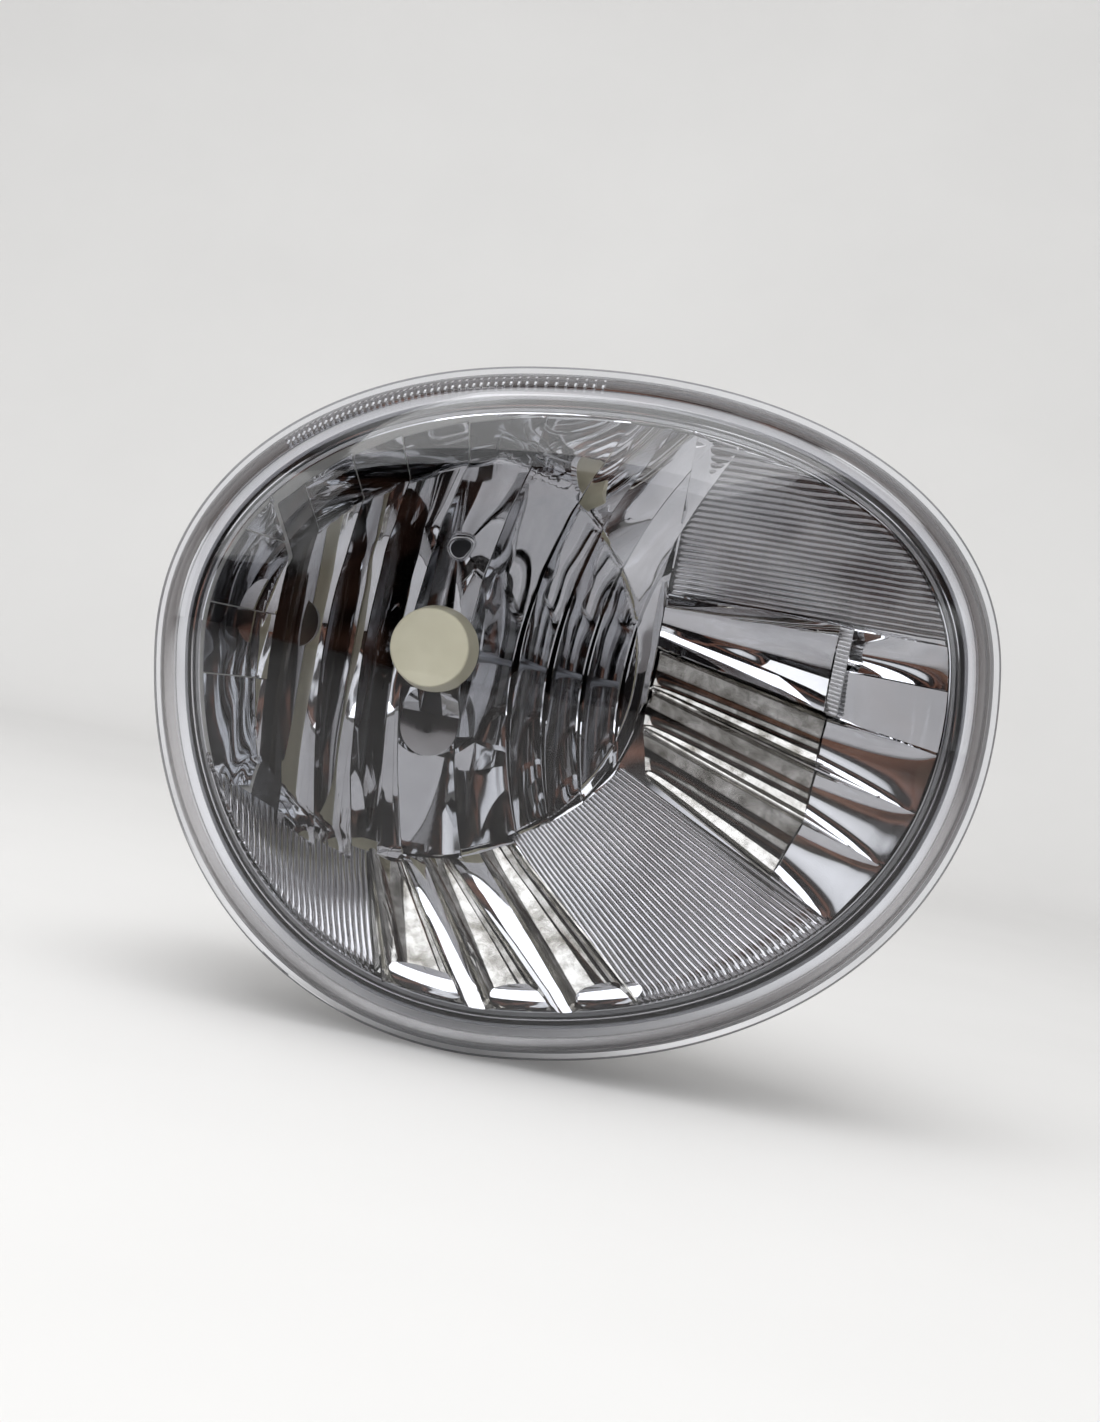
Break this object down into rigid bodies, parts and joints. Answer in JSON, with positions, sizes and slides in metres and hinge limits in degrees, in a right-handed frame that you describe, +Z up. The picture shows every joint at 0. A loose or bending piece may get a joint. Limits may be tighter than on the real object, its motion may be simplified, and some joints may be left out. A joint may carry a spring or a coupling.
{
  "type": "car headlight",
  "caption": "Egg-shaped car headlight: clear domed lens, chrome reflector with bulb shield, twist-lock bulb, aim screw and rear housing.",
  "frame": {"origin": "on the lamp's optical axis, in the plane of the mounting bosses' rear faces", "axes": "the lens faces -Y, +Y runs back along the optical axis and the bolts, +X is to the right when looking into the lens, +Z up"},
  "size_m": [0.1787, 0.132, 0.1482],
  "materials": {
    "housing_plastic": "moulded, fine grain",
    "lens_clear": "clear, polished",
    "sealant": "cured bead",
    "brass_insert": "turned",
    "soft_rubber": "moulded, dull",
    "nylon": "natural nylon",
    "zinc_steel": "zinc plated",
    "mirror_chrome": "vacuum metallised mirror",
    "plated_steel": "bright plated sheet",
    "cream_paint": "cream film",
    "bulb_glass": "clear quartz",
    "tungsten": "coiled wire",
    "nickel": "nickel plated",
    "black_plastic": "glass filled nylon",
    "tinned_brass": "tinned",
    "red_rubber": "silicone"
  },
  "bodies": {
    "root": {"housing": "housing_plastic", "lens": "lens_clear", "lens_seal": "sealant", "mounting_inserts": "brass_insert", "breather_elbow": "soft_rubber", "adjuster_bush": "nylon", "adjuster_seal": "soft_rubber", "pivot_stud_left": "zinc_steel", "pivot_stud_right": "zinc_steel", "bulb_boot": "soft_rubber"},
    "reflector_body": {"reflector": "mirror_chrome", "pivot_socket_left": "nylon", "pivot_socket_right": "nylon", "adjuster_yoke": "nylon", "bulb_ring": "plated_steel", "bulb_ring_screws": "zinc_steel", "bulb_shield": "plated_steel", "shield_rivet": "plated_steel", "shield_cover": "cream_paint"},
    "bulb_body": {"bulb_glass": "bulb_glass", "bulb_filament": "tungsten", "bulb_leads": "nickel", "bulb_cap": "nickel", "bulb_holder": "black_plastic", "bulb_terminals": "tinned_brass", "bulb_o_ring": "red_rubber"},
    "adjuster_body": {"adjuster_screw": "zinc_steel", "adjuster_knob": "nylon", "adjuster_clip": "zinc_steel"},
    "nut_body": {"adjuster_nut": "nylon"}
  },
  "joints": [
    {"name": "adjuster_turn", "type": "hinge", "parent": "root", "child": "adjuster_body", "pos_m": [0.03, -0.02, -0.052], "axis": [0, 1, 0], "range_deg": [-430, 430]},
    {"name": "nut_travel", "type": "slide", "parent": "root", "child": "nut_body", "axis": [0, 1, 0], "range_m": [-0.00185, 0.00185]},
    {"name": "reflector_tilt", "type": "hinge", "parent": "root", "child": "reflector_body", "pos_m": [0, -0.028, 0], "axis": [1, 0, 0], "range_deg": [-1.97, 1.97]},
    {"name": "bulb_twist", "type": "hinge", "parent": "reflector_body", "child": "bulb_body", "pos_m": [0, -0.013, 0], "axis": [0, 1, 0], "range_deg": [0, 40]}
  ],
  "couplings": [
    {"joint": "nut_travel", "follows": "reflector_tilt", "m_per_rad": 0.052},
    {"joint": "adjuster_turn", "follows": "reflector_tilt", "ratio": 217.82}
  ]
}
